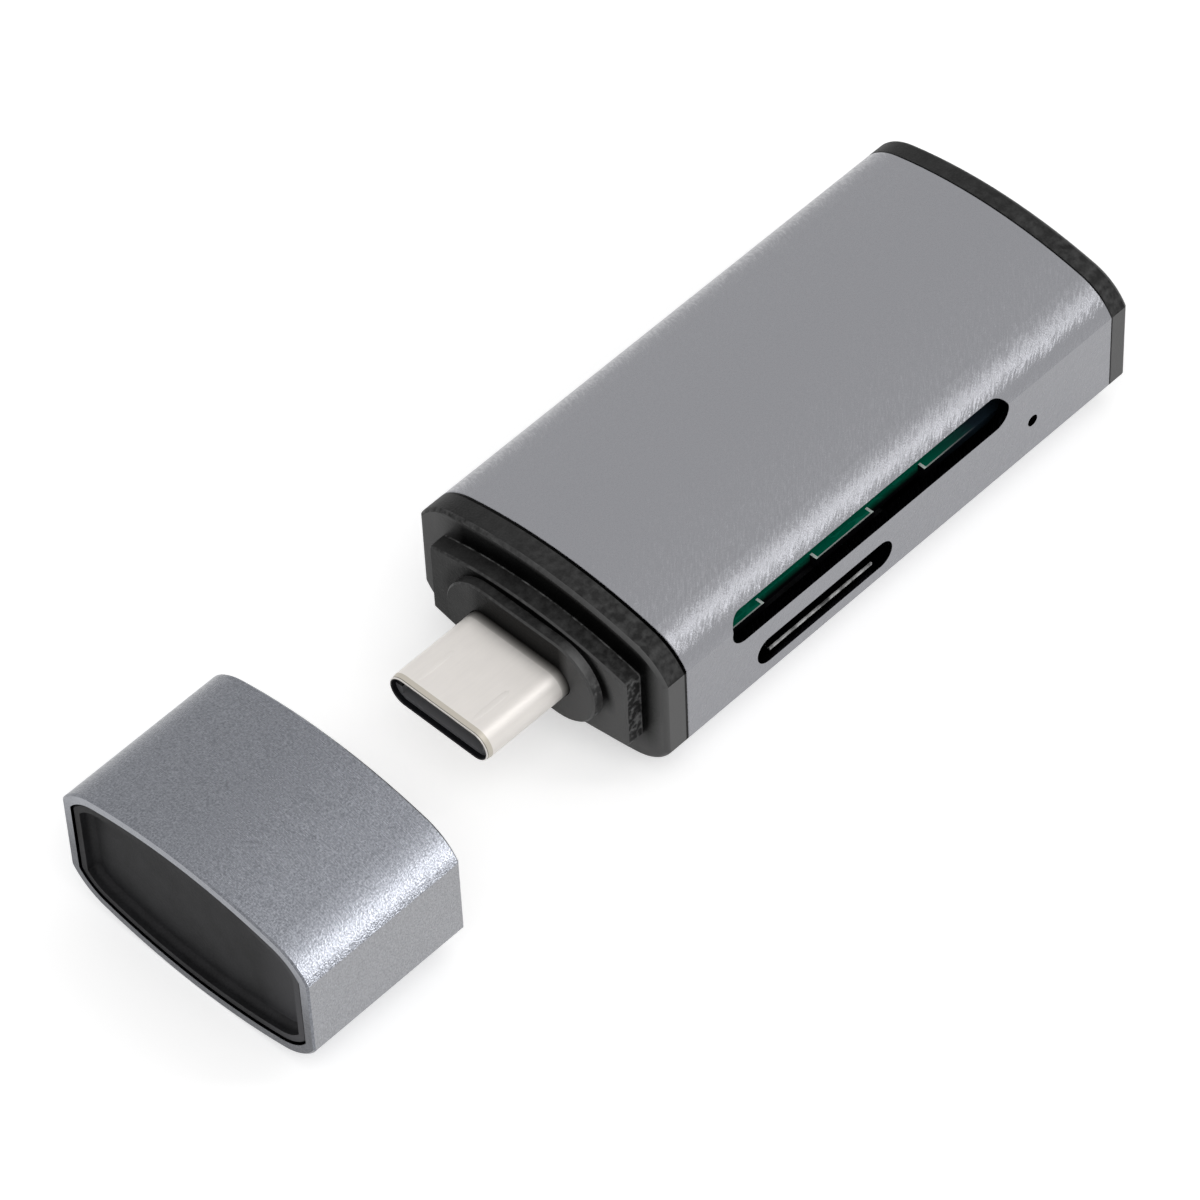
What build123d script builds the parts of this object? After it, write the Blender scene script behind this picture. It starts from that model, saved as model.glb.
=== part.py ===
from build123d import *
import os
from math import sqrt

# USB-C memory card reader: crowned aluminium sleeve, moulded ends, two card slots and a pull-off cap.
# Millimetres. X runs along the body away from the plug, the card slots are in the -Y flank, Z is up.
# The origin is under the middle of the reader with its cap pulled off and laid in line before the plug.

# Outer form shared by the sleeve, the end plates and the cap
WIDTH = 20.4
HEIGHT = 11.9
CROWN_RADIUS = 32.5
CORNER_RADIUS = 4.0
CORNER_OVERRUN = 0.47

# Sleeve
SLEEVE_LENGTH = 38.2
SLEEVE_WALL = 0.8
SLEEVE_EDGE_BREAK = 0.12

# End plates, with a skirt that plugs into the sleeve and grips the board's ends
FRONT_PLATE = 1.8
REAR_PLATE = 1.4
PLATE_EDGE_RADIUS = 0.3
SKIRT_DEPTH = 2.6
SKIRT_WALL = 1.0
SKIRT_FIT = 0.1
BOARD_GRIP_FIT = 0.06

# Crowned block and oval collar on the front plate, round the plug
BLOCK_INSET = 2.05
BLOCK_CORNER_RADIUS = 0.25
BLOCK_REACH = 1.25
COLLAR_MARGIN = 2.05
COLLAR_REACH = 0.75
MOULD_EDGE_BREAK = 0.12

# USB-C plug
PLUG_WIDTH = 8.25
PLUG_HEIGHT = 2.4
PLUG_REACH = 6.9
PLUG_TAIL = 1.2
PLUG_SHEET = 0.2
PLUG_NOSE_BREAK = 0.14
PLUG_HOLE_FIT = 0.06
PLUG_CORE_FIT = 0.03
PLUG_CORE_RECESS = 0.35
TONGUE_SIDE_WALL = 0.55
TONGUE_SLOT_HEIGHT = 1.3
SOLDER_STRAP_OVERHANG = 1.4
SOLDER_STRAP_LENGTH = 0.7
PLUG_CONTACTS_PER_ROW = 12
PLUG_CONTACT_PITCH = 0.5
PLUG_CONTACT_WIDTH = 0.25
PLUG_CONTACT_SHEET = 0.12
PLUG_CONTACT_SETBACK = 0.9
PLUG_CONTACT_BUMP = 0.18
PLUG_CONTACT_BUMP_LENGTH = 0.7
CONTACT_TAIL_RUN = 0.5
CONTACT_TAIL_FOOT = 0.9
LATCH_SHEET = 0.18
LATCH_HEIGHT = 0.6
LATCH_SETBACK = 0.7
LATCH_HOOK = 0.3
LATCH_HOOK_LENGTH = 0.5

# Circuit board, its top face level with the top of the plug
BOARD_THICKNESS = 1.0
BOARD_END_GAP = 0.3
BOARD_SIDE_GAP = 0.55
BOARD_NOTCH_START = 8.15
BOARD_NOTCH_LENGTH = 4.6
BOARD_NOTCH_PITCH = 9.7
BOARD_NOTCH_DEPTH = 0.55
BOARD_NOTCH_COUNT = 2
BOARD_PLUG_GAP = 0.15

# SD card slot and its socket on top of the board
SD_CARD_WIDTH = 24.0
SD_CARD_THICKNESS = 2.1
SD_SIDE_CLEARANCE = 0.3
SD_HEIGHT_CLEARANCE = 0.1
SD_FLOOR = 0.35
SD_RAIL = 0.9
SD_SKIRT_GAP = 0.3
SD_BACK_WALL = 2.0
SD_SHELF = 3.0
SD_COVER_SHEET = 0.2
SD_COVER_LIP = 1.2
SD_ROOF_GAP = 0.1
SD_CONTACTS = 9
SD_CONTACT_PITCH = 2.5
SD_CONTACT_WIDTH = 0.9
SD_CONTACT_SHEET = 0.15
SD_CONTACT_REACH = 1.5
SD_CONTACT_RISE = 0.35

# MicroSD card slot and its socket under the board
MICROSD_CARD_WIDTH = 11.0
MICROSD_CARD_THICKNESS = 1.0
MICROSD_SIDE_CLEARANCE = 0.48
MICROSD_HEIGHT_CLEARANCE = 0.55
MICROSD_CENTRE = 12.05
MICROSD_DEPTH = 13.7
MICROSD_BASE = 0.75
MICROSD_CARD_GAP = 1.1
MICROSD_RAIL = 0.9
MICROSD_BACK_WALL = 1.2
MICROSD_SHEET = 0.2
MICROSD_LIP_INSET = 0.4
MICROSD_LIP_SETBACK = 0.35
MICROSD_CONTACTS = 8
MICROSD_CONTACT_PITCH = 1.1
MICROSD_CONTACT_WIDTH = 0.6
MICROSD_CONTACT_SHEET = 0.12
MICROSD_CONTACT_LENGTH = 5.0
MICROSD_CONTACT_DROP = 0.4

# Parts soldered under the board behind the microSD socket
LIGHT_HOLE_DIAMETER = 0.85
LIGHT_OFFSET = 2.25
LIGHT_LENGTH = 1.6
LIGHT_DEPTH = 0.7
LIGHT_HEIGHT = 1.1
LIGHT_SETBACK = 0.15
LIGHT_LENS_DIAMETER = 0.55
LIGHT_LENS_REACH = 0.3
CHIP_SIZE = 6.0
CHIP_HEIGHT = 0.9
CHIP_EDGE_BREAK = 0.15
PART_SPACING = 1.2
CRYSTAL_LENGTH = 3.2
CRYSTAL_WIDTH = 2.5
CRYSTAL_HEIGHT = 0.8
CRYSTAL_CORNER_RADIUS = 0.4
REGULATOR_LENGTH = 2.9
REGULATOR_WIDTH = 1.6
REGULATOR_HEIGHT = 1.1
REGULATOR_LEG = 0.6
REGULATOR_LEG_WIDTH = 0.4
REGULATOR_LEG_SHEET = 0.15
PASSIVE_COUNT = 6
PASSIVE_PITCH = 1.8
PASSIVE_LENGTH = 1.0
PASSIVE_WIDTH = 0.5
PASSIVE_EDGE_GAP = 1.6
CAPACITOR_HEIGHT = 0.55
RESISTOR_HEIGHT = 0.35

# Cap
CAP_PULL = 17.2
CAP_WALL = 0.7
CAP_INSERT_FIT = 0.1
CAP_POCKET_FIT = 0.15
CAP_TIP_GAP = 0.5
CAP_FLOOR = 2.0
CAP_END_RECESS = 0.1
CAP_END_EDGE_BREAK = 0.08
CAP_MOUTH_RECESS = 0.2
CAP_MOUTH_EDGE_BREAK = 0.2
CAP_DISH_RIM = 0.55
CAP_DISH_DEPTH = 0.8
CAP_DISH_FILLET = 0.45

# Stations along X
cap_pocket_depth = BLOCK_REACH + COLLAR_REACH + PLUG_REACH + CAP_TIP_GAP
cap_length = CAP_END_RECESS + CAP_DISH_DEPTH + CAP_FLOOR + cap_pocket_depth
overall_length = cap_length + CAP_PULL + FRONT_PLATE + SLEEVE_LENGTH + REAR_PLATE
x_cap_end = -overall_length / 2
x_cap_mouth = x_cap_end + cap_length
x_plate_face = x_cap_mouth + CAP_PULL
x_sleeve_front = x_plate_face + FRONT_PLATE
x_sleeve_rear = x_sleeve_front + SLEEVE_LENGTH
x_rear_face = x_sleeve_rear + REAR_PLATE
x_block_face = x_plate_face - BLOCK_REACH
x_collar_face = x_block_face - COLLAR_REACH
x_plug_mouth = x_collar_face - PLUG_REACH
x_plug_tail = x_sleeve_front + PLUG_TAIL
x_core_front = x_plug_mouth + PLUG_CORE_RECESS

# Levels above the mid-height plane
mid_height = HEIGHT / 2
board_top = PLUG_HEIGHT / 2
board_bottom = board_top - BOARD_THICKNESS
sd_slot_height = SD_CARD_THICKNESS + 2 * SD_HEIGHT_CLEARANCE
sd_slot_floor = board_top + SD_FLOOR
sd_slot_top = sd_slot_floor + sd_slot_height
microsd_roof = board_bottom - MICROSD_BASE
microsd_floor = microsd_roof - MICROSD_CARD_GAP
microsd_slot_height = MICROSD_CARD_THICKNESS + 2 * MICROSD_HEIGHT_CLEARANCE
microsd_slot_level = (microsd_roof + microsd_floor) / 2
light_level = board_bottom - LIGHT_HEIGHT / 2

# Places across the body and lengths of the slots
tongue_slot_width = PLUG_WIDTH - 2 * (PLUG_SHEET + PLUG_CORE_FIT + TONGUE_SIDE_WALL)
board_half_width = WIDTH / 2 - SLEEVE_WALL - BOARD_SIDE_GAP
corner_y = WIDTH / 2 + CORNER_OVERRUN - CORNER_RADIUS
crown_level = HEIGHT / 2 - CROWN_RADIUS
corner_level = crown_level + sqrt((CROWN_RADIUS - CORNER_RADIUS) ** 2 - corner_y**2)
sd_roof = sd_slot_top + SD_COVER_SHEET + SD_ROOF_GAP
sd_crown_room = sqrt(max(0, (CROWN_RADIUS - SLEEVE_WALL) ** 2 - (sd_roof - crown_level) ** 2))
sd_corner_room = sqrt(max(0, (CORNER_RADIUS - SLEEVE_WALL) ** 2 - (sd_roof - corner_level) ** 2))
sd_half_depth = min(board_half_width, sd_crown_room, corner_y + sd_corner_room)
sd_slot_length = SD_CARD_WIDTH + 2 * SD_SIDE_CLEARANCE
x_sd_housing = x_sleeve_front + SKIRT_DEPTH + SD_SKIRT_GAP + SD_COVER_SHEET
x_sd_slot = x_sd_housing + SD_RAIL
x_sd_slot_end = x_sd_slot + sd_slot_length
x_sd_housing_end = x_sd_slot_end + SD_RAIL
y_sd_back = sd_half_depth - SD_BACK_WALL
microsd_slot_length = MICROSD_CARD_WIDTH + 2 * MICROSD_SIDE_CLEARANCE
x_microsd = x_sleeve_front + MICROSD_CENTRE
y_microsd_front = -board_half_width
y_microsd_back = y_microsd_front + MICROSD_DEPTH
x_light = x_sd_slot_end + LIGHT_OFFSET
x_chip = x_microsd + microsd_slot_length / 2 + MICROSD_RAIL + MICROSD_SHEET + PART_SPACING
x_small_parts = x_chip + CHIP_SIZE + PART_SPACING


def crowned(width, height, crown_radius, corner_radius, overrun=0.0):
    """Outline with crowned top and bottom and flat flanks. Corner arcs run on from the crown,
    and an overrun past the flank ends them in an edge there."""
    half_width = width / 2
    crown_centre = height / 2 - crown_radius
    corner_y = half_width + overrun - corner_radius
    reach = crown_radius - corner_radius
    rise = sqrt(reach**2 - corner_y**2)
    flank_z = crown_centre + rise + sqrt(corner_radius**2 - (corner_radius - overrun) ** 2)
    crown_y = corner_y * crown_radius / reach
    crown_z = crown_centre + rise * crown_radius / reach
    edges = []
    for side in (1, -1):
        top = (0, side * height / 2)
        edges.append(ThreePointArc((-crown_y, side * crown_z), top, (crown_y, side * crown_z)))
        edges.append(Line((side * half_width, -flank_z), (side * half_width, flank_z)))
        for end in (1, -1):
            flank_end = (side * half_width, end * flank_z)
            slope = (side * rise, -end * corner_y)
            edges.append(TangentArc((side * crown_y, end * crown_z), flank_end, tangent=slope))
    return make_face(edges)


def body_outline(inset=0.0):
    """Outer form of the body, drawn in evenly by an inset."""
    size = (WIDTH - 2 * inset, HEIGHT - 2 * inset)
    return crowned(*size, CROWN_RADIUS - inset, CORNER_RADIUS - inset, CORNER_OVERRUN)


def block_outline(margin=0.0):
    """Form of the block round the plug, grown evenly by a margin."""
    inset = BLOCK_INSET - margin
    corner_radius = BLOCK_CORNER_RADIUS + margin
    return crowned(WIDTH - 2 * inset, HEIGHT - 2 * inset, CROWN_RADIUS - inset, corner_radius)


def plug_outline(margin=0.0):
    """Oval form of the plug, grown evenly by a margin."""
    return SlotOverall(PLUG_WIDTH + 2 * margin, PLUG_HEIGHT + 2 * margin)


def across(x, level=0.0):
    """Plane square to the body's length, its own axes along Y and Z."""
    return Plane(origin=(x, 0, mid_height + level), x_dir=(0, 1, 0), z_dir=(1, 0, 0))


def along(y, x=0.0, level=0.0):
    """Plane parallel to the flanks, facing -Y, its own axes along X and Z."""
    return Plane(origin=(x, y, mid_height + level), x_dir=(1, 0, 0), z_dir=(0, -1, 0))


def prism(outline, start, end):
    """An outline run along X from one station to another."""
    return extrude(across(start) * outline, amount=end - start)


def block(x, y, z):
    """A box between pairs of limits, the last pair above the mid-height plane."""
    corner = Pos(x[0], y[0], mid_height + z[0])
    return corner * Box(x[1] - x[0], y[1] - y[0], z[1] - z[0], align=(Align.MIN, Align.MIN, Align.MIN))


def front_edges(solid):
    return solid.edges().group_by(Axis.X)[0]


def rear_edges(solid):
    return solid.edges().group_by(Axis.X)[-1]


def centred(count, pitch):
    """Evenly spaced places about zero."""
    return [(index - (count - 1) / 2) * pitch for index in range(count)]


def tube(wall, start, end):
    """A length of crowned extrusion with broken outer edges."""
    solid = prism(body_outline(), start, end)
    solid = chamfer(front_edges(solid) + rear_edges(solid), SLEEVE_EDGE_BREAK)
    return solid - prism(body_outline(wall), start, end)


def flank_cut(outline, x, level):
    """An opening through the -Y flank, deep enough for the rounded corner above it."""
    return extrude(along(-WIDTH / 2, x, level) * outline, amount=-(SLEEVE_WALL + CORNER_RADIUS))


def sleeve():
    sd_slot = SlotOverall(sd_slot_length, sd_slot_height)
    microsd_slot = SlotOverall(microsd_slot_length, microsd_slot_height)
    light_hole = Circle(LIGHT_HOLE_DIAMETER / 2)
    solid = tube(SLEEVE_WALL, x_sleeve_front, x_sleeve_rear)
    solid -= flank_cut(sd_slot, (x_sd_slot + x_sd_slot_end) / 2, (sd_slot_floor + sd_slot_top) / 2)
    solid -= flank_cut(microsd_slot, x_microsd, microsd_slot_level)
    solid -= flank_cut(light_hole, x_light, light_level)
    return solid


def skirt(start, end):
    """Ring that fits in the sleeve's end, notched at both sides to grip the board."""
    outer = SLEEVE_WALL + SKIRT_FIT
    ring = prism(body_outline(outer), start, end) - prism(body_outline(outer + SKIRT_WALL), start, end)
    x_board = (x_sleeve_front + BOARD_END_GAP, x_sleeve_rear - BOARD_END_GAP)
    grip = (board_bottom - BOARD_GRIP_FIT, board_top + BOARD_GRIP_FIT)
    return ring - block(x_board, (-WIDTH / 2, WIDTH / 2), grip)


def front_plate():
    plate = prism(body_outline(), x_plate_face, x_sleeve_front)
    plate = fillet(front_edges(plate), PLATE_EDGE_RADIUS)
    plug_block = prism(block_outline(), x_block_face, x_plate_face)
    plug_block = chamfer(front_edges(plug_block), MOULD_EDGE_BREAK)
    collar = prism(plug_outline(COLLAR_MARGIN), x_collar_face, x_block_face)
    collar = chamfer(front_edges(collar), MOULD_EDGE_BREAK)
    solid = plate + plug_block + collar + skirt(x_sleeve_front, x_sleeve_front + SKIRT_DEPTH)
    return solid - prism(plug_outline(PLUG_HOLE_FIT), x_collar_face, x_sleeve_front)


def rear_plate():
    plate = prism(body_outline(), x_sleeve_rear, x_rear_face)
    plate = fillet(rear_edges(plate), PLATE_EDGE_RADIUS)
    return plate + skirt(x_sleeve_rear - SKIRT_DEPTH, x_sleeve_rear)


def plug_shell():
    """Drawn steel tube with a bevelled nose and a strap soldered to the board."""
    solid = prism(plug_outline(), x_plug_mouth, x_plug_tail)
    solid = chamfer(front_edges(solid), PLUG_NOSE_BREAK)
    solid -= prism(plug_outline(-PLUG_SHEET), x_plug_mouth, x_plug_tail)
    strap_half = PLUG_WIDTH / 2 + SOLDER_STRAP_OVERHANG
    strap_x = (x_plug_tail - SOLDER_STRAP_LENGTH, x_plug_tail)
    return solid + block(strap_x, (-strap_half, strap_half), (board_top, board_top + PLUG_SHEET))


def plug_insulator():
    core = prism(plug_outline(-PLUG_SHEET - PLUG_CORE_FIT), x_core_front, x_plug_tail)
    return core - prism(Rectangle(tongue_slot_width, TONGUE_SLOT_HEIGHT), x_core_front, x_plug_tail)


def strip(plane, points, sheet, width):
    """Bent spring of constant thickness that follows points on a plane."""
    return extrude(plane * trace(Polyline(*points), sheet), amount=width / 2, both=True)


def plug_contact_points(row, foot_level):
    """Path of one contact: bump at the mouth, run along the slot wall, tail up to the board."""
    wall = row * (TONGUE_SLOT_HEIGHT - PLUG_CONTACT_SHEET) / 2
    start = x_core_front + PLUG_CONTACT_SETBACK
    tail = x_plug_tail + PLUG_CONTACT_SHEET
    return [
        (start, wall),
        (start + PLUG_CONTACT_BUMP_LENGTH, wall - row * PLUG_CONTACT_BUMP),
        (start + 2 * PLUG_CONTACT_BUMP_LENGTH, wall),
        (tail, wall),
        (tail + CONTACT_TAIL_RUN, foot_level),
        (tail + CONTACT_TAIL_RUN + CONTACT_TAIL_FOOT, foot_level),
    ]


def plug_contacts():
    upper = plug_contact_points(1, board_top + PLUG_CONTACT_SHEET / 2)
    lower = plug_contact_points(-1, board_bottom - PLUG_CONTACT_SHEET / 2)
    return [
        strip(along(y), points, PLUG_CONTACT_SHEET, PLUG_CONTACT_WIDTH)
        for points in (upper, lower)
        for y in centred(PLUG_CONTACTS_PER_ROW, PLUG_CONTACT_PITCH)
    ]


def plug_latches():
    """Two side springs in the tongue slot, hooked inwards near the mouth."""
    level = Plane.XY.offset(mid_height)
    start = x_core_front + LATCH_SETBACK
    solids = []
    for side in (1, -1):
        wall = side * (tongue_slot_width - LATCH_SHEET) / 2
        points = [
            (start, wall),
            (start + LATCH_HOOK_LENGTH, wall - side * LATCH_HOOK),
            (start + 2 * LATCH_HOOK_LENGTH, wall),
            (x_plug_tail, wall),
        ]
        solids.append(strip(level, points, LATCH_SHEET, LATCH_HEIGHT))
    return solids


def circuit_board():
    x = (x_sleeve_front + BOARD_END_GAP, x_sleeve_rear - BOARD_END_GAP)
    z = (board_bottom, board_top)
    board = block(x, (-board_half_width, board_half_width), z)
    plug_half = PLUG_WIDTH / 2 + BOARD_PLUG_GAP
    foot = x_plug_tail + PLUG_CONTACT_SHEET + CONTACT_TAIL_RUN
    board -= block((x[0], foot + BOARD_PLUG_GAP), (-plug_half, plug_half), z)
    for index in range(BOARD_NOTCH_COUNT):
        start = x_sleeve_front + BOARD_NOTCH_START + index * BOARD_NOTCH_PITCH
        edge = (-board_half_width, -board_half_width + BOARD_NOTCH_DEPTH)
        board -= block((start, start + BOARD_NOTCH_LENGTH), edge, z)
    return board


def sd_socket_housing():
    """Two guide rails, a back wall and a low shelf that carries the contacts."""
    y = (-sd_half_depth, sd_half_depth)
    frame = block((x_sd_housing, x_sd_housing_end), y, (board_top, sd_slot_top))
    card = (x_sd_slot, x_sd_slot_end)
    frame -= block(card, (y[0], y_sd_back - SD_SHELF), (board_top, sd_slot_top))
    return frame - block(card, (y[0], y_sd_back), (sd_slot_floor, sd_slot_top))


def sd_socket_cover():
    """Folded steel lid over the rails, with a lip down each side."""
    x = (x_sd_housing - SD_COVER_SHEET, x_sd_housing_end + SD_COVER_SHEET)
    y = (-sd_half_depth, sd_half_depth)
    lid = block(x, y, (sd_slot_top - SD_COVER_LIP, sd_slot_top + SD_COVER_SHEET))
    return lid - block((x_sd_housing, x_sd_housing_end), y, (sd_slot_top - SD_COVER_LIP, sd_slot_top))


def sd_contacts():
    seat = sd_slot_floor + SD_CONTACT_SHEET / 2
    shelf_edge = y_sd_back - SD_SHELF
    points = [
        (y_sd_back, seat),
        (shelf_edge, seat),
        (shelf_edge - SD_CONTACT_REACH, seat + SD_CONTACT_RISE),
    ]
    middle = (x_sd_slot + x_sd_slot_end) / 2
    places = centred(SD_CONTACTS, SD_CONTACT_PITCH)
    return [strip(across(middle + x), points, SD_CONTACT_SHEET, SD_CONTACT_WIDTH) for x in places]


def microsd_limits():
    half = microsd_slot_length / 2 + MICROSD_RAIL
    return (x_microsd - half, x_microsd + half)


def microsd_base():
    """Moulded base against the board, with rails and a back wall round the card."""
    y = (y_microsd_front, y_microsd_back)
    base = block(microsd_limits(), y, (microsd_floor, board_bottom))
    half = microsd_slot_length / 2
    card = (x_microsd - half, x_microsd + half)
    return base - block(card, (y[0], y[1] - MICROSD_BACK_WALL), (microsd_floor, microsd_roof))


def microsd_shell():
    """Folded steel tray round the base, with a lip that reaches into the sleeve's slot."""
    base = microsd_limits()
    x = (base[0] - MICROSD_SHEET, base[1] + MICROSD_SHEET)
    y = (y_microsd_front, y_microsd_back)
    tray = block(x, y, (microsd_floor - MICROSD_SHEET, board_bottom))
    tray -= block(base, y, (microsd_floor, board_bottom))
    lip_half = microsd_slot_length / 2 - MICROSD_LIP_INSET - microsd_slot_height / 2
    lip_x = (x_microsd - lip_half, x_microsd + lip_half)
    lip_y = (-WIDTH / 2 + MICROSD_LIP_SETBACK, y[0])
    return tray + block(lip_x, lip_y, (microsd_floor - MICROSD_SHEET, microsd_floor))


def microsd_contacts():
    seat = microsd_roof - MICROSD_CONTACT_SHEET / 2
    back = y_microsd_back - MICROSD_BACK_WALL
    points = [
        (back, seat),
        (back - MICROSD_CONTACT_LENGTH / 2, seat),
        (back - MICROSD_CONTACT_LENGTH, seat - MICROSD_CONTACT_DROP),
    ]
    places = centred(MICROSD_CONTACTS, MICROSD_CONTACT_PITCH)
    return [strip(across(x_microsd + x), points, MICROSD_CONTACT_SHEET, MICROSD_CONTACT_WIDTH) for x in places]


def under_board(x, y, length, width, height):
    """A block soldered under the board, from its first corner."""
    return block((x, x + length), (y, y + width), (board_bottom - height, board_bottom))


def status_led():
    y = -board_half_width + LIGHT_SETBACK
    body = under_board(x_light - LIGHT_LENGTH / 2, y, LIGHT_LENGTH, LIGHT_DEPTH, LIGHT_HEIGHT)
    lens = Circle(LIGHT_LENS_DIAMETER / 2)
    return body + extrude(along(y, x_light, light_level) * lens, amount=LIGHT_LENS_REACH)


def controller_chip():
    chip = under_board(x_chip, -CHIP_SIZE / 2, CHIP_SIZE, CHIP_SIZE, CHIP_HEIGHT)
    return chamfer(chip.edges().group_by(Axis.Z)[0], CHIP_EDGE_BREAK)


def crystal():
    can = under_board(x_small_parts, PART_SPACING, CRYSTAL_LENGTH, CRYSTAL_WIDTH, CRYSTAL_HEIGHT)
    return fillet(can.edges().filter_by(Axis.Z), CRYSTAL_CORNER_RADIUS)


def voltage_regulator():
    y = -PART_SPACING - REGULATOR_WIDTH
    body = under_board(x_small_parts, y, REGULATOR_LENGTH, REGULATOR_WIDTH, REGULATOR_HEIGHT)
    middle = x_small_parts + REGULATOR_LENGTH / 2
    offset = (REGULATOR_LENGTH - REGULATOR_LEG_WIDTH) / 2 - REGULATOR_LEG_WIDTH
    for place, edge in ((-offset, y - REGULATOR_LEG), (offset, y - REGULATOR_LEG), (0, y + REGULATOR_WIDTH)):
        leg_x = middle + place - REGULATOR_LEG_WIDTH / 2
        body += under_board(leg_x, edge, REGULATOR_LEG_WIDTH, REGULATOR_LEG, REGULATOR_LEG_SHEET)
    return body


def passives(y, height):
    """A row of small soldered blocks along the board."""
    starts = [x_chip + index * PASSIVE_PITCH for index in range(PASSIVE_COUNT)]
    return [under_board(x, y, PASSIVE_LENGTH, PASSIVE_WIDTH, height) for x in starts]


def capacitors():
    return passives(board_half_width - PASSIVE_EDGE_GAP - PASSIVE_WIDTH, CAPACITOR_HEIGHT)


def resistors():
    return passives(PASSIVE_EDGE_GAP - board_half_width, RESISTOR_HEIGHT)


def cap_shell():
    return tube(CAP_WALL, x_cap_end, x_cap_mouth)


def cap_insert():
    """Moulded core of the cap: dished closed end, pocket that grips the block round the plug."""
    outer = CAP_WALL + CAP_INSERT_FIT
    x_end = x_cap_end + CAP_END_RECESS
    core = prism(body_outline(outer), x_end, x_cap_mouth - CAP_MOUTH_RECESS)
    core = chamfer(front_edges(core), CAP_END_EDGE_BREAK)
    dish = prism(body_outline(outer + CAP_DISH_RIM), x_end, x_end + CAP_DISH_DEPTH)
    core -= fillet(rear_edges(dish), CAP_DISH_FILLET)
    core -= prism(block_outline(CAP_POCKET_FIT), x_cap_mouth - cap_pocket_depth, x_cap_mouth)
    return chamfer(rear_edges(core), CAP_MOUTH_EDGE_BREAK)


PIECES = (
    sleeve,
    front_plate,
    rear_plate,
    plug_shell,
    plug_insulator,
    plug_contacts,
    plug_latches,
    circuit_board,
    sd_socket_housing,
    sd_socket_cover,
    sd_contacts,
    microsd_base,
    microsd_shell,
    microsd_contacts,
    status_led,
    controller_chip,
    crystal,
    voltage_regulator,
    capacitors,
    resistors,
    cap_shell,
    cap_insert,
)

os.makedirs("parts", exist_ok=True)
for piece in PIECES:
    made = piece()
    solid = Compound(children=made) if isinstance(made, list) else made
    export_step(solid, f"parts/{piece.__name__}.step")
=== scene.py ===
import math
import bmesh
import bpy
from mathutils import Matrix, Vector


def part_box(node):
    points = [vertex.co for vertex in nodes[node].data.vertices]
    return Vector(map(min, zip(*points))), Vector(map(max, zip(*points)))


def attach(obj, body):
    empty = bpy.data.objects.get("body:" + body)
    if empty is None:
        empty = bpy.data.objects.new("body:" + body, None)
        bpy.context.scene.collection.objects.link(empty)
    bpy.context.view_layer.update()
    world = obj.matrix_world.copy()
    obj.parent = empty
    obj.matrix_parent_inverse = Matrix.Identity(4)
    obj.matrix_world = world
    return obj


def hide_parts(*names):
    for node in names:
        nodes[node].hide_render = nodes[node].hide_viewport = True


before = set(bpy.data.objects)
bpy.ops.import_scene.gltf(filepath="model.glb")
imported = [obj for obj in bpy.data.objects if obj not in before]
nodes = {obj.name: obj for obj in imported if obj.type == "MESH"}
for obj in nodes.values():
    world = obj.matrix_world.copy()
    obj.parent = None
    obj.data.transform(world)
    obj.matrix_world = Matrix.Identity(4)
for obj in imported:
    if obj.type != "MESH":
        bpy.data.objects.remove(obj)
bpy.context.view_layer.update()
MM = 0.001

# Camera at the photograph's angle
CAMERA_AIM = Vector((-1.74, -0.71, 5.95)) * MM
CAMERA_AZIMUTH = math.radians(-133.99)
CAMERA_ELEVATION = math.radians(49.84)
CAMERA_ROLL = math.radians(-2.9)
CAMERA_DISTANCE = 390 * MM
CAMERA_LENS = 195.0
CAMERA_SENSOR = 36.0

# Light, its sizes in metres
WORLD_LEVEL = 0.55
BACKGROUND_LEVEL = 1.0
FLOOR_GREY = 0.86
FLOOR_SIZE = 3.0
FLOOR_LIFT = 0.48
FLOOR_ROUGHNESS = 0.9
KEY_DIRECTION = (-0.3, -0.5, 0.8)
KEY_ACROSS = (0, 1, 0)
KEY_DISTANCE = 0.7
KEY_SIZE = (0.6, 0.6)
KEY_LEVEL = 1.0
LAMP_DISTANCE = 0.5
STRIP_LENGTH = 0.36

# Strips of light seen in the upper corner: lowest and highest slope in degrees, and brightness
BODY_STREAK = ((18, 29, 0.35), (29, 37, 2.7), (57, 64, 0.25))
BODY_TWIST = math.radians(58)
CAP_STREAK = ((2, 9, 0.2), (9, 20, 0.65), (20, 28, 0.9), (28, 36, 1.3), (36, 45, 2.4), (45, 56, 6.2))
CAP_TWIST = 0.0

# Sizes in millimetres
SLOT_LEVELS = 3.95
SLOT_DEPTH = 4.0
SEAM_WIDTH = 0.18
PLATE_THICKNESS = 1.8
BLOCK_REACH = 1.25
BLOCK_HALF = 8.15
BLOCK_CROWN = 30.45
CROWN_OFFSET = 26.55
COLLAR_RADIUS = 3.25
ROOT_LINE = 0.1
# Reach of the shade painted into the corners of the front plate's steps
OVER_CORE = 1.5
OVER_REACH = 2.5
BESIDE_CORE = 0.45
BESIDE_REACH = 1.6
CORNER_END = 8.8
CORNER_FADE = 2.4
CORNER_FOOT = 4.0
CORNER_FOOT_FADE = 2.0
CRESCENT_CORE = 0.5
CRESCENT_REACH = 1.1
PLUG_SHADE_FADE = 0.8
EDGE_LINE = 0.09
NOTCH_EDGE_LINE = 0.2
NOTCH_START = 8.15
NOTCH_LENGTH = 4.6
NOTCH_PITCH = 9.7
NOTCH_DEPTH = 0.55
BOARD_EDGE_FADE = 0.3
BOARD_DARK_START = 19.0
BOARD_DARK_END = 23.0
PLUG_WIDTH = 8.25
PLUG_HEIGHT = 2.4
PLUG_SHEET = 0.2
LIP_LENGTH = 0.1
NOSE_LENGTH = 0.45
NOSE_DROP = 0.06
NOSE_LINE = 0.03
ROOT_FADE = 0.6
PLUG_STRAP_LENGTH = 0.7
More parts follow.
